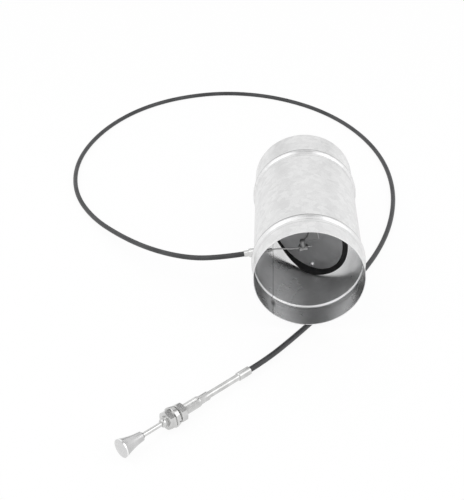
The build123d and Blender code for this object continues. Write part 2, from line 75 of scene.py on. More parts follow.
# The sheet's unevenness: share, waves round the sleeve, twist along it and phase of each wave
WAVE = 0.07 * MM
WAVES = ((0.5, 3, 2.0, 1.1), (0.3, 7, -5.0, 0.0), (0.25, 11, 9.0, 0.7))

# Steps of the sleeve's mesh. The seam's step is a share of its width, and its margin is an angle
PLAIN_STEPS = 64
BEAD_STEP_MM = 0.35
BEAD_STEPS = 14
CREASE_STEP_MM = 0.3
CREASE_STEPS = 5
LEAST_STEP = 0.1 * MM
SLEEVE_AROUND = 208
SEAM_STEP = 0.2
SEAM_STEPS = 8
SEAM_MARGIN = 0.004
DRILL_SIDES = 40
DRILL_DEPTH = 0.2 * SLEEVE_RADIUS

# Control wire
WIRE_RADIUS = 0.7 * MM
WIRE_AHEAD = 27.789 * MM
WIRE_START = 50.05 * MM
WIRE_DROP = 2.6 * MM
NOZZLE_END = 33.5 * MM
CLAMP_ACROSS = -4.03 * MM
CLAMP_HALF = 4.2 * MM
WIRE_TAIL = 4.0 * MM
WIRE_LEAD = 2.0 * MM
WIRE_AROUND = 16
WIRE_STEPS = 60

# Cable, with the points of its route between the inlet and the fitting
INLET_END = 60.05 * MM
CABLE_RADIUS = 2.5 * MM
EXIT_RUN = 22.0 * MM
FITTING_START = Vector((-51.8, -161.0, 6.0)) * MM
LAID_MM = 2.5
ROUTE_MM = (
    (-112, -28, 30),
    (-150, -1, 20),
    (-187, 38, 9.5),
    (-225, 84, LAID_MM),
    (-252, 133, LAID_MM),
    (-263, 192, LAID_MM),
    (-257, 252, LAID_MM),
    (-236, 309, LAID_MM),
    (-203, 356, LAID_MM),
    (-158, 390, LAID_MM),
    (-101, 408, LAID_MM),
    (-42, 402, LAID_MM),
    (13, 374, LAID_MM),
    (55, 332, LAID_MM),
    (85, 279, LAID_MM),
    (102, 220, LAID_MM),
    (106, 157, LAID_MM),
    (98, 96, LAID_MM),
    (81, 40, LAID_MM),
    (57, -9, LAID_MM),
    (31, -51, LAID_MM),
    (6, -86, LAID_MM),
    (-14, -113.5, LAID_MM),
)
CABLE_ORDER = 3
CABLE_RESOLUTION = 12
CABLE_BEVEL = 8

# Threaded barrel, in stations along the fitting. The thread has THREAD_STEPS to a turn, and fades in and out
# over one part in THREAD_FADE of its length
BARREL_FROM = 48.8 * MM
BARREL_BORE = 2.05 * MM
SHOULDER_RADIUS = 3.8 * MM
CONE_FROM = 57.5 * MM
THREAD_FROM = 59.5 * MM
THREAD_TO = 95.6 * MM
THREAD_RADIUS = 4.7 * MM
THREAD_PITCH = 1.0 * MM
THREAD_DEPTH = 0.4 * MM
THREAD_STEPS = 8
THREAD_FADE = 14
NOSE_RADIUS = 3.8 * MM
NOSE_ROUND = 1.6 * MM
NOSE_END = 99.3 * MM
NOSE_STEPS = 6
BARREL_AROUND = 72

# Rubber seal and lever, in the blade's frame. The lip stays within LIP_REACH of the sleeve's axis at each of
# LIP_OPENINGS
REST_OPENING = math.radians(40.3)
LEVER_FROM = 1.8 * MM
LEVER_FULL = 1.3 * LEVER_FROM
SEAL_RADIUS = 49.15 * MM
SEAL_HIDDEN = 42.0 * MM
SEAL_HALF = 1.0 * MM
SEAL_AROUND = 168
SEAL_RUNS = 14
SEAL_EDGE_STEPS = 6
LIP_FROM = 44.15 * MM
LIP_CURL = 1.5
LIP_BEND = 5.6 * MM
LIP_LEAST = 0.5 * MM
LIP_LEAN = math.radians(3.0)
LIP_POWER = 6
LIP_WAVE = 0.12 * MM
LIP_WAVES = 11
LIP_PHASE = 0.6
LIP_OPENINGS = [math.radians(opening) for opening in (0, 20, 40.3, 60, 80)]
LIP_REACH = 49.3 * MM

# Edges kept sharp, in degrees
SHARP = 40
BARREL_SHARP = 50
SEAL_SHARP = 60

# Pieces of the fitting and the inlet, all plated
PLATED_FITTINGS = (
    "inlet_ferrule",
    "crimp_ferrule",
    "guide_tube",
    "rear_nut",
    "lock_washer",
    "flat_washer",
    "front_nut",
    "pull_rod",
)

# Noise: the middle range that is spread out to the full one, and how fine it goes
NOISE_MIDDLE = (0.3, 0.7)
NOISE_ROUGHNESS = 0.55
CLOUD_DETAIL = 5.0
METAL_CLOUD_DETAIL = 4.0
FINE_DETAIL = 3.0
SPECK_DETAIL = 2.0

# Finish of the sleeve. Pairs run from dark to light, from smooth to rough and from weak to strong
# The outside is painted lighter than the inside: painted light outside, painted shade inside
OUTSIDE_SHADES = ((0.75, 0.75, 0.75), (0.87, 0.87, 0.87))
INSIDE_SHADES = ((0.72, 0.722, 0.725), (0.79, 0.792, 0.795))
INSIDE_ROUGH = (0.26, 0.32)
OUTSIDE_ROUGHER = 0.12
FACING_BLEND = 0.2 * SLEEVE_RADIUS
# Colour of the seam line and the stain, and of the painted shade at the beads and creases
MARKS_AND_PAINTED_SHADE = (0.12, 0.12, 0.12)
SEAM_LINE = (0.3 * MM, 0.9 * MM)
SEAM_STRENGTH = 0.45
STAIN_STATION = 16.5 * MM
STAIN_WIDTH = 4.2 * MM
STAIN_LENGTH = 7.5 * MM
STAIN_FADE = (0.4, 1.2)
STAIN_RAGGED = 0.5
STAIN_STRENGTH = 0.8
# Painted shade, outside only: a dark line at the rear foot of each bead and one in each crease, cloudy in strength
BEAD_SHADE_BEHIND = 0.9 * MM
BEAD_SHADE_WIDTH = 1.5 * MM
BEAD_SHADE_CORE = 0.5 * BEAD_SHADE_WIDTH
BEAD_SHADE_CLOUD = (0.2, 0.7)
BEAD_SHADE_STRENGTH = (0.44, 0.74)
CREASE_SHADE_WIDTH = 0.5 * MM
CREASE_SHADE_CORE = 0.3 * CREASE_SHADE_WIDTH
CREASE_SHADE_STRENGTH = 0.45

# Finish of the fitting. The plating is duller inside the sleeve and darkened there by painted shade, and stations
# run along the fitting
PLATED_SHADES = ((0.55, 0.55, 0.545), (0.67, 0.67, 0.665))
PLATED_PAINTED_SHADE = (0.36, 0.36, 0.36)
PLATED_ROUGH = (0.15, 0.24)
DULL_ROUGHER = 0.2
DULL_AND_SHADE_REACH = 40.0 * MM
KNOB_START = 118.5 * MM
KNOB_RIM = 139.4 * MM
KNOB_SHADES = ((0.55, 0.55, 0.55), (0.63, 0.63, 0.63))
KNOB_ROUGH = (0.22, 0.34)
RING_SCALE = 5200.0
RING_MIDDLE = (0.25, 0.75)
# Painted highlight on the knob's rim
RIM_HIGHLIGHT_WIDTH = 0.7 * MM
RIM_PAINTED_HIGHLIGHT = (0.95, 0.95, 0.95)
FACE_SHADE = (0.68, 0.68, 0.68)
JOINT_WIDTH = 1.2 * MM
JOINT_SHADE = (0.1, 0.1, 0.1)
JOINT_STRENGTH = 0.8

# Finish of the blade, the cable and the small pieces
DISC_SHADES = ((0.72, 0.72, 0.725), (0.84, 0.84, 0.845))
DISC_ROUGH = (0.3, 0.42)
# Painted shade on the lever, which stands off the disc
LEVER_PAINTED_SHADE = (0.3, 0.3, 0.3)
PIN_SHADES = ((0.03, 0.03, 0.03), (0.05, 0.05, 0.05))
PIN_END = (0.8, 0.8, 0.8)
PIN_ROUGH = (0.32, 0.46)
RUBBER_SHADES = ((0.012, 0.012, 0.012), (0.028, 0.028, 0.029))
RUBBER_MIDDLE = (0.3, 0.75)
RUBBER_ROUGH = (0.55, 0.75)
RUBBER_SPECULAR = 0.35
JACKET_SHADES = ((0.035, 0.036, 0.038), (0.062, 0.063, 0.066))
JACKET_ROUGH = (0.34, 0.48)
RIVET_SHADES = ((0.75, 0.75, 0.75), (0.88, 0.88, 0.88))
RIVET_ROUGH = (0.18, 0.3)
WIRE_SHADES = ((0.4, 0.4, 0.4), (0.52, 0.52, 0.52))
WIRE_ROUGH = (0.3, 0.45)

# Stage
WHITE = (1, 1, 1, 1)
MATT = 0.9
FLOOR_HALF = 6.0
FLOOR_SHADES = ((0.9, 0.9, 0.9), (0.92, 0.92, 0.92))
FLOOR_GLOW = 1.02
FLOOR_SEEN = 0.9
CARD_SHADES = ((0.42, 0.42, 0.42), (0.48, 0.48, 0.48))
CARDS = {
    "card_back": ((-0.65, 1.4, 0.02), (0.65, 1.4, 0.02), (0.65, 1.4, 0.4), (-0.65, 1.4, 0.4)),
    "card_above": ((-0.45, -0.8, 1.5), (0.45, -0.8, 1.5), (0.45, 0.8, 1.5), (-0.45, 0.8, 1.5)),
}
LAMPS = {"softbox_left": (-1.0, -0.3, 1.3), "softbox_right": (1.0, -0.3, 1.3)}
LAMP_TARGET = (0, 0.05, 0.05)
LAMP_WIDTH = 1.0
LAMP_HEIGHT = 1.4
LAMP_POWER = 4.0
WORLD_LIGHT = 0.7
WORLD_SEEN = 0.3
CAMERA_PLACE = (-0.04509, -0.78828, 0.5556)
CAMERA_DOWN = 34.093
CAMERA_TURN = 1.954
CAMERA_LENS = 69.13
CAMERA_SENSOR = 36.0

# Frames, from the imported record
mounts = {mount["name"]: mount for mount in frame["record"]["mounts"]}
joints = {joint["name"]: joint for joint in frame["joints"]}
spigot = mounts["front_spigot"]
along = -Vector(spigot["axis"])
mouth = Vector(spigot["pos_m"]) - along * spigot["dims"]["length_mm"] * MM / 2
pivot = Vector(joints["blade_turn"]["pos_m"])
pivot_up = -Vector(joints["blade_turn"]["axis"])
across = along.cross(pivot_up).normalized()
sideways = Vector((1, 0, 0))
upright = sideways.cross(along)
fitting_axis = Vector(joints["knob_slide"]["axis"])
wire_middle = pivot - along * WIRE_AHEAD
cable_exit = wire_middle - across * INLET_END
blade_front = -across * math.sin(REST_OPENING) - along * math.cos(REST_OPENING)
blade_side = across * math.cos(REST_OPENING) - along * math.sin(REST_OPENING)


# Meshes

def new_object(name, data):
    """An object in the scene."""
    made = bpy.data.objects.new(name, data)
    bpy.context.scene.collection.objects.link(made)
    return made


def mesh_object(name, vertices, faces, sharp_degrees=SHARP):
    """A smooth-shaded mesh object, with its sharp edges kept."""
    mesh = bpy.data.meshes.new(name)
    mesh.from_pydata(vertices, [], faces)
    mesh.validate()
    tidy = bmesh.new()
    tidy.from_mesh(mesh)
    bmesh.ops.recalc_face_normals(tidy, faces=tidy.faces)
    tidy.to_mesh(mesh)
    tidy.free()
    mesh.shade_smooth()
    mesh.set_sharp_from_angle(angle=math.radians(sharp_degrees))
    return new_object(name, mesh)


def ring_faces(rings, around, closed):
    """Faces between rings of points, and between the last and the first where the section is closed."""
    faces = []
    for ring in range(rings if closed else rings - 1):
        here, following = ring * around, (ring + 1) % rings * around
        for step in range(around):
            after = (step + 1) % around
            faces.append((here + step, here + after, following + after, following + step))
    return faces


def bead_rise(distance, curve):
    """Height of a rolled bead at a distance from its crest: an arc between two foot fillets."""
    distance = abs(distance)
    centre = BEAD_HEIGHT - curve
    reach = math.sqrt((curve + BEAD_FOOT) ** 2 - (BEAD_FOOT - centre) ** 2)
    meet = reach * curve / (curve + BEAD_FOOT)
    if distance < meet:
        return centre + math.sqrt(curve**2 - distance**2)
    if distance < reach:
        return BEAD_FOOT - math.sqrt(BEAD_FOOT**2 - (reach - distance) ** 2)
    return 0.0


def dip(distance, width):
    """A smooth narrow dip, 1 at its middle."""
    return math.exp(-((distance / width) ** 2))


def sleeve_stations():
    """Axial stations of the sleeve's wall, close together over the beads and creases."""
    stations = [SLEEVE_LENGTH * step / PLAIN_STEPS for step in range(PLAIN_STEPS + 1)]
    stations += [RIM_ROUND, SLEEVE_LENGTH - RIM_ROUND]
    for bead in BEADS:
        crease = bead - CREASE_AHEAD
        stations += [bead + step * BEAD_STEP_MM * MM for step in range(-BEAD_STEPS, BEAD_STEPS + 1)]
        stations += [crease + step * CREASE_STEP_MM * MM for step in range(-CREASE_STEPS, CREASE_STEPS + 1)]
    stations.sort()
    kept = [stations[0]]
    for station in stations[1:]:
        if station - kept[-1] > LEAST_STEP:
            kept.append(station)
    kept[-1] = SLEEVE_LENGTH
    return kept


def sleeve_angles():
    """Angles round the sleeve, close together at the seam."""
    even = [math.tau * step / SLEEVE_AROUND for step in range(SLEEVE_AROUND)]
    steps = range(-SEAM_STEPS, SEAM_STEPS + 1)
    near = [SEAM_ANGLE + step * SEAM_STEP * SEAM_WIDTH / SLEEVE_RADIUS for step in steps]
    edge = near[-1] - SEAM_ANGLE + SEAM_MARGIN
    return sorted([angle for angle in even if abs(angle - SEAM_ANGLE) > edge] + near)


def sheet_wave(angle, station):
    """The slight unevenness of thin rolled sheet."""
    turn = station / SLEEVE_LENGTH
    return WAVE * sum(
        share * math.sin(count * angle + twist * turn + phase) for share, count, twist, phase in WAVES
    )


def wall_radius(station, side):
    """Radius of the sheet's outer face (side 1) or inner face (side -1) at a station."""
    inset = 0 if side > 0 else SHEET
    rise = sum(bead_rise(station - bead, BEAD_CURVE - inset) for bead in BEADS)
    rise -= sum(CREASE_DEPTH * dip(station - bead + CREASE_AHEAD, CREASE_WIDTH) for bead in BEADS)
    rim = RIM_ROUND if station in (0, SLEEVE_LENGTH) else 0
    return SLEEVE_RADIUS - inset + rise - side * rim


def make_sleeve():
    """Rolled sheet with two beads, a crease ahead of each, and a seam."""
    stations, angles = sleeve_stations(), sleeve_angles()
    section = [(station, 1) for station in stations] + [(station, -1) for station in reversed(stations)]
    vertices = []
    for station, side in section:
        radius = wall_radius(station, side)
        for angle in angles:
            seam = SEAM_DEPTH * dip((angle - SEAM_ANGLE) * SLEEVE_RADIUS, SEAM_WIDTH)
            reach = radius + sheet_wave(angle, station) - side * seam
            out = sideways * math.cos(angle) + upright * math.sin(angle)
            vertices.append(mouth + along * station + out * reach)
    sleeve = mesh_object("rolled_sleeve", vertices, ring_faces(len(section), len(angles), True))
    cut_holes(sleeve)
    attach(sleeve, "sleeve")
    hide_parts("duct_sleeve")
    return sleeve


def cut_holes(sleeve):
    """Cut the two pivot holes and the inlet's hole through the wall."""
    for name, middle, way, radius in (
        ("upper", pivot, pivot_up, PIVOT_HOLE),
        ("lower", pivot, -pivot_up, PIVOT_HOLE),
        ("inlet", wire_middle, -across, INLET_HOLE),
    ):
        drill = bmesh.new()
        turn = way.to_track_quat("Z", "Y").to_matrix().to_4x4()
        bmesh.ops.create_cone(
            drill,
            cap_ends=True,
            segments=DRILL_SIDES,
            radius1=radius,
            radius2=radius,
            depth=DRILL_DEPTH,
            matrix=Matrix.Translation(middle + way * SLEEVE_RADIUS) @ turn,
        )
        mesh = bpy.data.meshes.new(f"drill_{name}")
        drill.to_mesh(mesh)
        drill.free()
        tool = new_object(f"drill_{name}", mesh)
        cut = sleeve.modifiers.new(f"cut_{name}", "BOOLEAN")
        cut.operation = "DIFFERENCE"
        cut.solver = "EXACT"
        cut.object = tool
        bpy.context.view_layer.update()
        evaluated = sleeve.evaluated_get(bpy.context.evaluated_depsgraph_get())
        finished = bpy.data.meshes.new_from_object(evaluated)
        sleeve.modifiers.remove(cut)
        sleeve.data = finished
        bpy.data.objects.remove(tool)
    sleeve.data.name = sleeve.name


def barrel_section():
    """The barrel's section: radius, station and share of the thread's depth."""
    section = [(BARREL_BORE, BARREL_FROM, 0)]
    section += [(SHOULDER_RADIUS, BARREL_FROM, 0), (SHOULDER_RADIUS, CONE_FROM, 0)]
    steps = round((THREAD_TO - THREAD_FROM) / THREAD_PITCH * THREAD_STEPS)
    for step in range(steps + 1):
        share = step / steps
        fade = min(1.0, share * THREAD_FADE, (1 - share) * THREAD_FADE)
        section.append((THREAD_RADIUS, THREAD_FROM + share * (THREAD_TO - THREAD_FROM), fade))
    section.append((NOSE_RADIUS, THREAD_TO, 0))
    for step in range(NOSE_STEPS + 1):
        bend = math.pi / 2 * step / NOSE_STEPS
        radius = NOSE_RADIUS - NOSE_ROUND * (1 - math.cos(bend))
        section.append((radius, NOSE_END - NOSE_ROUND * (1 - math.sin(bend)), 0))
    section.append((BARREL_BORE, NOSE_END, 0))
    return section


def make_barrel():
    """Panel barrel: a narrow shoulder, a cut thread and a rounded nose."""
    section = barrel_section()
    side = fitting_axis.cross(Vector((0, 0, 1))).normalized()
    over = side.cross(fitting_axis)
    vertices = []
    for radius, station, fade in section:
        for step in range(BARREL_AROUND):
            angle = math.tau * step / BARREL_AROUND
            phase = (station / THREAD_PITCH - angle / math.tau) % 1.0
            reach = radius - fade * THREAD_DEPTH * abs(2 * phase - 1)
            out = side * math.cos(angle) + over * math.sin(angle)
            vertices.append(FITTING_START + fitting_axis * station + out * reach)
    faces = ring_faces(len(section), BARREL_AROUND, True)
    barrel = mesh_object("threaded_barrel_cut", vertices, faces, BARREL_SHARP)
    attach(barrel, "sleeve")
    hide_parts("threaded_barrel")
    return barrel


def seal_section():
    """The seal's section: radius and height over the middle, round a rounded edge."""
    width = SEAL_RADIUS - SEAL_HALF / 2 - SEAL_HIDDEN
    flat = [SEAL_HIDDEN + width * step / SEAL_RUNS for step in range(SEAL_RUNS + 1)]
    section = [(radius, SEAL_HALF) for radius in flat]
    for step in range(1, SEAL_EDGE_STEPS):
        turn = math.pi * step / SEAL_EDGE_STEPS
        section.append((SEAL_RADIUS - SEAL_HALF / 2 * (1 - math.sin(turn)), SEAL_HALF * math.cos(turn)))
    return section + [(radius, -SEAL_HALF) for radius in reversed(flat)]


def lip_bend(angle):
    """How far the seal's lip is bent forward at an angle round the blade."""
    wave = LIP_WAVE * math.sin(LIP_WAVES * angle + LIP_PHASE)
    return LIP_LEAST + LIP_BEND * math.sin(angle + LIP_LEAN) ** LIP_POWER + wave


def make_seal():
    """Rubber disc between the steel discs. Its lip bends forward where it rubs on the wall by the pins."""
    section = seal_section()
    vertices = []
    for radius, height in section:
        lip = max(0.0, (radius - LIP_FROM) / (SEAL_RADIUS - LIP_FROM)) ** LIP_CURL
        for step in range(SEAL_AROUND):
            angle = math.tau * step / SEAL_AROUND
            forward = height + lip * lip_bend(angle)
            beside = radius * math.cos(angle)
            swing = max(abs(beside * math.cos(turn) - forward * math.sin(turn)) for turn in LIP_OPENINGS)
            limit = math.sqrt(LIP_REACH**2 - swing**2)
            above = max(-limit, min(limit, radius * math.sin(angle)))
            vertices.append(pivot + blade_side * beside + pivot_up * above + blade_front * forward)
    faces = ring_faces(len(section), SEAL_AROUND, True)
    seal = mesh_object("rubber_seal", vertices, faces, SEAL_SHARP)
    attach(seal, "blade")
    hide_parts("seal_disc")
    return seal


def wire_fall(reach):
    """How far the wire has fallen at a reach from the sleeve's axis: none in the nozzle, all at the clamp."""
    start = -NOZZLE_END + WIRE_LEAD
    share = (reach - start) / (CLAMP_ACROSS - CLAMP_HALF - WIRE_LEAD - start)
    share = min(1.0, max(0.0, share))
    return WIRE_DROP * share * share * (3 - 2 * share)


def make_wire():
    """Steel wire from the inlet's bore to just past the clamp."""
    end = CLAMP_ACROSS + CLAMP_HALF + WIRE_TAIL
    vertices = []
    for step in range(WIRE_STEPS + 1):
        reach = -WIRE_START + (end + WIRE_START) * step / WIRE_STEPS
        place = wire_middle + across * reach - pivot_up * wire_fall(reach)
        for turn in range(WIRE_AROUND):
            angle = math.tau * turn / WIRE_AROUND
            vertices.append(place + (along * math.cos(angle) + pivot_up * math.sin(angle)) * WIRE_RADIUS)
    faces = ring_faces(WIRE_STEPS + 1, WIRE_AROUND, False)
    faces.append(tuple(range(WIRE_AROUND)))
    faces.append(tuple(range(WIRE_STEPS * WIRE_AROUND, (WIRE_STEPS + 1) * WIRE_AROUND)))
    wire = mesh_object("lever_wire", vertices, faces)
    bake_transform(wire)
    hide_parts("control_wire")
    return wire


def make_cable():
    """Sheathed cable: out of the inlet, round in one loose loop and under the sleeve's mouth."""
    route = [cable_exit, cable_exit - across * EXIT_RUN]
    route += [Vector(point) * MM for point in ROUTE_MM]
    route += [FITTING_START - fitting_axis * EXIT_RUN, FITTING_START]
    curve = bpy.data.curves.new("cable_jacket_line", "CURVE")
    curve.dimensions = "3D"
    spline = curve.splines.new("NURBS")
    spline.points.add(len(route) - 1)
    for point, place in zip(spline.points, route):
        point.co = (*place, 1)
        point.radius = CABLE_RADIUS
    spline.order_u = CABLE_ORDER
    spline.use_endpoint_u = True
    spline.resolution_u = CABLE_RESOLUTION
    # A round section of 1, which each point's radius scales
    curve.bevel_depth = 1.0
    curve.bevel_resolution = CABLE_BEVEL
    curve.use_fill_caps = True
    cable = new_object("cable_jacket", curve)
    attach(cable, "sleeve")
    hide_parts("cable_sheath")
    return cable


sleeve = make_sleeve()
barrel = make_barrel()
seal = make_seal()
wire = make_wire()
cable = make_cable()


# Node helpers

def add(tree, kind, inputs=(), **settings):
    """A node with its settings, its inputs set to values or linked to sockets."""
    made = tree.nodes.new(kind)
    for key, value in settings.items():
        setattr(made, key, value)
    for key, value in dict(inputs).items():
        if isinstance(value, bpy.types.NodeSocket):
            tree.links.new(value, made.inputs[key])
        else:
            made.inputs[key].default_value = value
    return made


def calc(tree, operation, first, second=0.0):
    """A math node's result."""
    return add(tree, "ShaderNodeMath", {0: first, 1: second}, operation=operation).outputs[0]


def times(tree, first, second):
    """A product."""
    return calc(tree, "MULTIPLY", first, second)


def plus(tree, first, second):
    """A sum."""
    return calc(tree, "ADD", first, second)


def larger(tree, first, second):
    """The larger of two values."""
    return calc(tree, "MAXIMUM", first, second)


def gap(tree, first, second):
    """How far two values are apart."""
    return calc(tree, "ABSOLUTE", calc(tree, "SUBTRACT", first, second))


def squares(tree, first, second):
    """The sum of two squares."""
    return plus(tree, times(tree, first, first), times(tree, second, second))


def weigh(tree, shares):
    """A weighted sum."""
    total = 0.0
    for value, weight in shares:
        total = plus(tree, times(tree, value, weight), total)
    return total


def blend_range(tree, value, low, high, to_low=0.0, to_high=1.0):
    """A value carried smoothly from one range to another."""
    return add(
        tree,
        "ShaderNodeMapRange",
        {"Value": value, "From Min": low, "From Max": high, "To Min": to_low, "To Max": to_high},
        interpolation_type="SMOOTHSTEP",
    ).outputs["Result"]


def spread(tree, value, to_low=0.0, to_high=1.0):
    """A noise's middle range, spread out."""
    return blend_range(tree, value, *NOISE_MIDDLE, to_low, to_high)


def fade_out(tree, value, full, none, strength=1.0):
    """A strength up to one value, and nothing past another."""
    return blend_range(tree, value, full, none, strength, 0.0)


def noise(tree, place, scale, detail):
    """A cloudy noise between 0 and 1."""
    return add(
        tree,
        "ShaderNodeTexNoise",
        {"Vector": place, "Scale": scale, "Detail": detail, "Roughness": NOISE_ROUGHNESS},
    ).outputs["Fac"]


def mix(tree, amount, first, second):
    """A colour between two, each a socket or three numbers."""
    first, second = (
        colour if isinstance(colour, bpy.types.NodeSocket) else (*colour, 1) for colour in (first, second)
    )
    return add(
        tree, "ShaderNodeMix", {"Factor": amount, "A": first, "B": second}, data_type="RGBA"
    ).outputs["Result"]


def from_point(tree, place, point):
    """A place measured from a point."""
    return add(tree, "ShaderNodeVectorMath", {0: place, 1: point}, operation="SUBTRACT").outputs[0]


def reach(tree, place, direction):
    """How far a place lies along a direction."""
    product = add(tree, "ShaderNodeVectorMath", {0: place, 1: direction}, operation="DOT_PRODUCT")
    return product.outputs["Value"]


def start_material(name, **sockets):
    """A material with one Principled shader, and its object coordinates."""
    material = bpy.data.materials.new(name)
    material.use_nodes = True
    tree = material.node_tree
    shader = tree.nodes["Principled BSDF"]
    for key, value in sockets.items():
        shader.inputs[key.replace("_", " ")].default_value = value
    place = add(tree, "ShaderNodeTexCoord").outputs["Object"]
    return material, tree, shader, place


def finish_material(tree, shader, colour, roughness, height, strength, distance):
    """Link colour, roughness and bump to the shader."""
    bump = add(tree, "ShaderNodeBump", {"Height": height, "Strength": strength, "Distance": distance})
    tree.links.new(colour, shader.inputs["Base Color"])
    tree.links.new(roughness, shader.inputs["Roughness"])
    tree.links.new(bump.outputs["Normal"], shader.inputs["Normal"])


# Materials

def sheet_marks_and_shade(tree, girth, station, cloud, fine, outside):
    """Dark marks on the sleeve: the seam and a stain on it; and painted shade outside, at the rear foot of each
    bead and in each crease.
    """
    # The girth runs from minus half a turn to half a turn
    seam_turn = SEAM_ANGLE - math.tau
    off_seam = gap(tree, girth, seam_turn * SLEEVE_RADIUS)
    line = fade_out(tree, off_seam, *SEAM_LINE)
    stain_wide = calc(tree, "DIVIDE", off_seam, STAIN_WIDTH)
    stain_long = calc(tree, "DIVIDE", gap(tree, station, STAIN_STATION), STAIN_LENGTH)
    stain_off = calc(tree, "SQRT", squares(tree, stain_wide, stain_long))
    ragged = weigh(tree, ((stain_off, 1.0), (fine, STAIN_RAGGED)))
    stain = fade_out(tree, ragged, *STAIN_FADE)
    marks = larger(tree, times(tree, line, SEAM_STRENGTH), times(tree, stain, STAIN_STRENGTH))
    painted_shade = 0.0
    # Painted shade: a dark line at each bead's rear foot and one in the crease ahead of it
    for bead in BEADS:
        edge = fade_out(tree, gap(tree, station, bead + BEAD_SHADE_BEHIND), BEAD_SHADE_CORE, BEAD_SHADE_WIDTH)
        off_crease = gap(tree, station, bead - CREASE_AHEAD)
        crease = fade_out(tree, off_crease, CREASE_SHADE_CORE, CREASE_SHADE_WIDTH, CREASE_SHADE_STRENGTH)
        painted_shade = larger(tree, larger(tree, edge, crease), painted_shade)
    painted_shade = times(tree, painted_shade, blend_range(tree, cloud, *BEAD_SHADE_CLOUD, *BEAD_SHADE_STRENGTH))
    return larger(tree, marks, times(tree, painted_shade, outside))


def galvanised_sheet():
    """Bright zinc-coated sheet: cloudy, dull and painted lighter outside, smoother and painted darker inside, with
    its marks and painted shade.
    """
    material, tree, shader, place = start_material("galvanised_sheet", Metallic=1.0)
    local = from_point(tree, place, mouth)
    station = reach(tree, local, along)
    reach_up = reach(tree, local, upright)
    reach_side = reach(tree, local, sideways)
    girth = times(tree, calc(tree, "ARCTAN2", reach_up, reach_side), SLEEVE_RADIUS)
    normal = add(tree, "ShaderNodeTexCoord").outputs["Normal"]
    facing_up = times(tree, reach_up, reach(tree, normal, upright))
    facing_side = times(tree, reach_side, reach(tree, normal, sideways))
    facing = plus(tree, facing_up, facing_side)
    outside = blend_range(tree, facing, -FACING_BLEND, FACING_BLEND)
    spangle = add(
        tree, "ShaderNodeTexVoronoi", {"Vector": place, "Scale": 190.0, "Randomness": 1.0}, feature="F1"
    ).outputs["Color"]
    grain = add(tree, "ShaderNodeSeparateColor", {"Color": spangle}).outputs["Red"]
    cloud = noise(tree, place, scale=34.0, detail=CLOUD_DETAIL)
    fine = noise(tree, place, scale=420.0, detail=FINE_DETAIL)
    speck = noise(tree, place, scale=1100.0, detail=SPECK_DETAIL)
    mottle = spread(tree, weigh(tree, ((grain, 0.2), (cloud, 0.3), (speck, 0.5))))
    # Painted light: the outside of the sheet is painted lighter than the inside
    colour = mix(tree, outside, mix(tree, mottle, *INSIDE_SHADES), mix(tree, mottle, *OUTSIDE_SHADES))
    marks = sheet_marks_and_shade(tree, girth, station, cloud, fine, outside)
    colour = mix(tree, marks, colour, MARKS_AND_PAINTED_SHADE)
    rough = plus(tree, spread(tree, cloud, *INSIDE_ROUGH), times(tree, outside, OUTSIDE_ROUGHER))
    height = weigh(tree, ((grain, 0.35), (fine, 1.0)))
    finish_material(tree, shader, colour, rough, height, strength=0.02, distance=0.1 * MM)
    return material


def plain_metal(name, shade_pair, rough_pair, cloud_scale, fine_scale):
    """A metal with cloudy colour, uneven gloss and a fine grain."""
    material, tree, shader, place = start_material(name, Metallic=1.0)
    cloud = noise(tree, place, cloud_scale, METAL_CLOUD_DETAIL)
    fine = noise(tree, place, fine_scale, FINE_DETAIL)
    colour = mix(tree, spread(tree, cloud), *shade_pair)
    rough = spread(tree, fine, *rough_pair)
    finish_material(tree, shader, colour, rough, fine, strength=0.05, distance=0.2 * MM)
    return material


def plated_metal():
    """Bright zinc plating, rougher and darkened by painted shade where it stands in the air way."""
    material, tree, shader, place = start_material("zinc_plated", Metallic=1.0)
    cloud = noise(tree, place, scale=120.0, detail=METAL_CLOUD_DETAIL)
    fine = noise(tree, place, scale=900.0, detail=FINE_DETAIL)
    local = from_point(tree, place, mouth)
    off_axis = squares(tree, reach(tree, local, sideways), reach(tree, local, upright))
    inside = fade_out(tree, off_axis, DULL_AND_SHADE_REACH**2, SLEEVE_RADIUS**2)
    inside = times(tree, inside, blend_range(tree, reach(tree, local, along), 0.0, SHEET))
    # Painted shade: the plating is painted darker inside the sleeve
    colour = mix(tree, inside, mix(tree, spread(tree, cloud), *PLATED_SHADES), PLATED_PAINTED_SHADE)
    rough = plus(tree, spread(tree, fine, *PLATED_ROUGH), times(tree, inside, DULL_ROUGHER))
    finish_material(tree, shader, colour, rough, fine, strength=0.06, distance=0.2 * MM)
    return material


def blade_metal():
    """Bare sheet steel, with painted shade on the lever that stands off the disc."""
    material, tree, shader, place = start_material("blade_steel", Metallic=1.0)
    cloud = noise(tree, place, scale=40.0, detail=METAL_CLOUD_DETAIL)
    fine = noise(tree, place, scale=500.0, detail=FINE_DETAIL)
    height = reach(tree, from_point(tree, place, pivot), blade_front)
    # Painted shade: the steel is painted darker where it stands off the disc
    lever_painted_shade = blend_range(tree, height, LEVER_FROM, LEVER_FULL)
    colour = mix(tree, lever_painted_shade, mix(tree, spread(tree, cloud), *DISC_SHADES), LEVER_PAINTED_SHADE)
    rough = spread(tree, fine, *DISC_ROUGH)
    finish_material(tree, shader, colour, rough, fine, strength=0.06, distance=0.2 * MM)
    return material


def pin_metal():
    """Blackened pin, ground bright where its end is flush with the sleeve."""
    material, tree, shader, place = start_material("black_steel", Metallic=1.0)
    fine = noise(tree, place, scale=900.0, detail=FINE_DETAIL)
    end = calc(tree, "ABSOLUTE", reach(tree, from_point(tree, place, pivot), pivot_up))
    bright = blend_range(tree, end, SLEEVE_RADIUS - SHEET, SLEEVE_RADIUS - SHEET / 2)
    colour = mix(tree, bright, mix(tree, fine, *PIN_SHADES), PIN_END)
    rough = spread(tree, fine, *PIN_ROUGH)
    finish_material(tree, shader, colour, rough, fine, strength=0.05, distance=0.2 * MM)
    return material


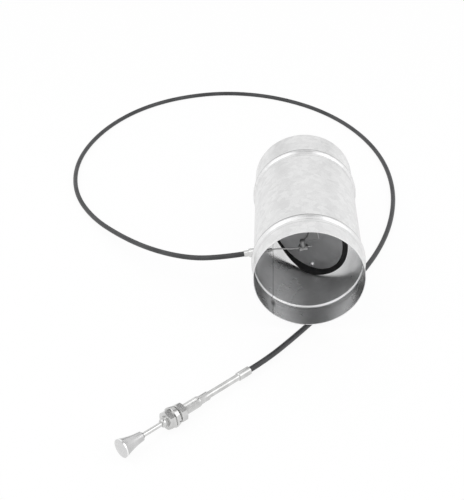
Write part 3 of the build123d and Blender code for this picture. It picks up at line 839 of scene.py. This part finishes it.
def turned_metal():
    """Turned aluminium: fine rings round the fitting's axis, a painted highlight on the rim and a dark joint at
    the rod.
    """
    material, tree, shader, place = start_material("knob_aluminium", Metallic=1.0)
    station = reach(tree, from_point(tree, place, FITTING_START), fitting_axis)
    rings = add(
        tree,
        "ShaderNodeTexNoise",
        {"W": station, "Scale": RING_SCALE, "Detail": FINE_DETAIL},
        noise_dimensions="1D",
    ).outputs["Fac"]
    cloud = noise(tree, place, scale=90.0, detail=FINE_DETAIL)
    colour = mix(tree, spread(tree, cloud), *KNOB_SHADES)
    # Painted highlight: a bright band round the knob's rim
    rim = fade_out(tree, gap(tree, station, KNOB_RIM), 0.5 * RIM_HIGHLIGHT_WIDTH, RIM_HIGHLIGHT_WIDTH)
    colour = mix(tree, rim, colour, RIM_PAINTED_HIGHLIGHT)
    face = blend_range(tree, station, KNOB_RIM + RIM_HIGHLIGHT_WIDTH / 2, KNOB_RIM + RIM_HIGHLIGHT_WIDTH)
    colour = mix(tree, face, colour, FACE_SHADE)
    joint_from, joint_to = KNOB_START + JOINT_WIDTH / 2, KNOB_START + JOINT_WIDTH
    joint = fade_out(tree, station, joint_from, joint_to, JOINT_STRENGTH)
    colour = mix(tree, joint, colour, JOINT_SHADE)
    rough = blend_range(tree, rings, *RING_MIDDLE, *KNOB_ROUGH)
    finish_material(tree, shader, colour, rough, rings, strength=0.1, distance=0.1 * MM)
    return material


def black_rubber():
    """Cut sheet rubber, matt and a little dusty."""
    material, tree, shader, place = start_material("seal_rubber", Specular_IOR_Level=RUBBER_SPECULAR)
    cloud = noise(tree, place, scale=70.0, detail=CLOUD_DETAIL)
    fine = noise(tree, place, scale=900.0, detail=FINE_DETAIL)
    colour = mix(tree, blend_range(tree, cloud, *RUBBER_MIDDLE), *RUBBER_SHADES)
    rough = spread(tree, fine, *RUBBER_ROUGH)
    finish_material(tree, shader, colour, rough, fine, strength=0.25, distance=0.3 * MM)
    return material


def cable_plastic():
    """Extruded dark grey jacket, satin and a little cloudy."""
    material, tree, shader, place = start_material("cable_jacket")
    cloud = noise(tree, place, scale=45.0, detail=CLOUD_DETAIL)
    fine = noise(tree, place, scale=700.0, detail=FINE_DETAIL)
    colour = mix(tree, spread(tree, cloud), *JACKET_SHADES)
    rough = spread(tree, fine, *JACKET_ROUGH)
    finish_material(tree, shader, colour, rough, fine, strength=0.15, distance=0.2 * MM)
    return material


def seen_rays(tree):
    """1 for rays from the camera, from reflections and through glass."""
    path = add(tree, "ShaderNodeLightPath")
    either = larger(tree, path.outputs["Is Camera Ray"], path.outputs["Is Glossy Ray"])
    return larger(tree, either, path.outputs["Is Transmission Ray"])


def floor_material():
    """Pale floor: white to the camera and in reflections, and it keeps a soft shadow."""
    material, tree, shader, place = start_material("floor_pale", Roughness=MATT)
    grain = noise(tree, place, scale=12.0, detail=FINE_DETAIL)
    tree.links.new(mix(tree, grain, *FLOOR_SHADES), shader.inputs["Base Color"])
    glow = add(tree, "ShaderNodeEmission", {"Color": WHITE, "Strength": FLOOR_GLOW})
    part = times(tree, seen_rays(tree), FLOOR_SEEN)
    mixed = add(tree, "ShaderNodeMixShader", {0: part, 1: shader.outputs[0], 2: glow.outputs[0]})
    tree.links.new(mixed.outputs[0], tree.nodes["Material Output"].inputs["Surface"])
    return material


def card_material(name):
    """Plain grey card."""
    material, tree, shader, place = start_material(name, Roughness=MATT)
    grain = noise(tree, place, scale=6.0, detail=SPECK_DETAIL)
    tree.links.new(mix(tree, grain, *CARD_SHADES), shader.inputs["Base Color"])
    return material


def dress(pieces, material):
    """Give each piece, a node by its name or an object, one material."""
    for piece in pieces:
        target = frame["nodes"][piece] if isinstance(piece, str) else piece
        target.data.materials.clear()
        target.data.materials.append(material)


rivet_metal = plain_metal("rivet_aluminium", RIVET_SHADES, RIVET_ROUGH, cloud_scale=200.0, fine_scale=1200.0)
wire_metal = plain_metal("spring_wire", WIRE_SHADES, WIRE_ROUGH, cloud_scale=150.0, fine_scale=1200.0)
dress([sleeve], galvanised_sheet())
dress(["front_disc", "rear_disc", "lever_arm", "lever_rivets", "wire_clamp"], blade_metal())
dress([seal], black_rubber())
dress(["upper_pivot_pin", "lower_pivot_pin"], pin_metal())
dress(["pivot_rivets"], rivet_metal)
dress([wire], wire_metal)
dress([barrel, "clamp_screws", "inlet_nut", *PLATED_FITTINGS], plated_metal())
dress(["pull_knob"], turned_metal())
dress([cable], cable_plastic())


# Stage

def flat_sheet(name, corners, material):
    """One flat face on the stage."""
    sheet = mesh_object(name, [Vector(corner) for corner in corners], [(0, 1, 2, 3)])
    dress([sheet], material)
    return sheet


def make_floor():
    """A wide floor under the part."""
    signs = ((-1, -1), (1, -1), (1, 1), (-1, 1))
    flat_sheet("floor", [(x * FLOOR_HALF, y * FLOOR_HALF, 0) for x, y in signs], floor_material())


def make_card(name, corners):
    """A grey card out of the camera's view, for the metal to reflect."""
    card = flat_sheet(name, corners, card_material(name))
    card.visible_camera = False
    card.visible_diffuse = False
    card.visible_shadow = False


def area_light(name, place):
    """A soft box that looks at the part."""
    lamp = bpy.data.lights.new(name, "AREA")
    lamp.shape = "RECTANGLE"
    lamp.size = LAMP_WIDTH
    lamp.size_y = LAMP_HEIGHT
    lamp.energy = LAMP_POWER
    holder = new_object(name, lamp)
    holder.location = place
    holder.rotation_euler = (Vector(LAMP_TARGET) - Vector(place)).to_track_quat("-Z", "Y").to_euler()


def make_world():
    """Plain white surroundings, dimmer as light than as a background."""
    world = bpy.data.worlds.new("studio")
    world.use_nodes = True
    tree = world.node_tree
    ground = tree.nodes["Background"]
    ground.inputs["Color"].default_value = WHITE
    strength = plus(tree, times(tree, seen_rays(tree), WORLD_SEEN), WORLD_LIGHT)
    tree.links.new(strength, ground.inputs["Strength"])
    bpy.context.scene.world = world


def make_camera():
    """The photograph's viewpoint."""
    lens = bpy.data.cameras.new("camera")
    lens.sensor_width = CAMERA_SENSOR
    lens.lens = CAMERA_LENS
    camera = new_object("camera", lens)
    camera.location = CAMERA_PLACE
    camera.rotation_euler = (math.radians(90 - CAMERA_DOWN), 0, math.radians(CAMERA_TURN))
    bpy.context.scene.camera = camera


make_floor()
make_world()
make_camera()
for name, corners in CARDS.items():
    make_card(name, corners)
for name, place in LAMPS.items():
    area_light(name, place)
bpy.context.scene.view_settings.view_transform = "Standard"
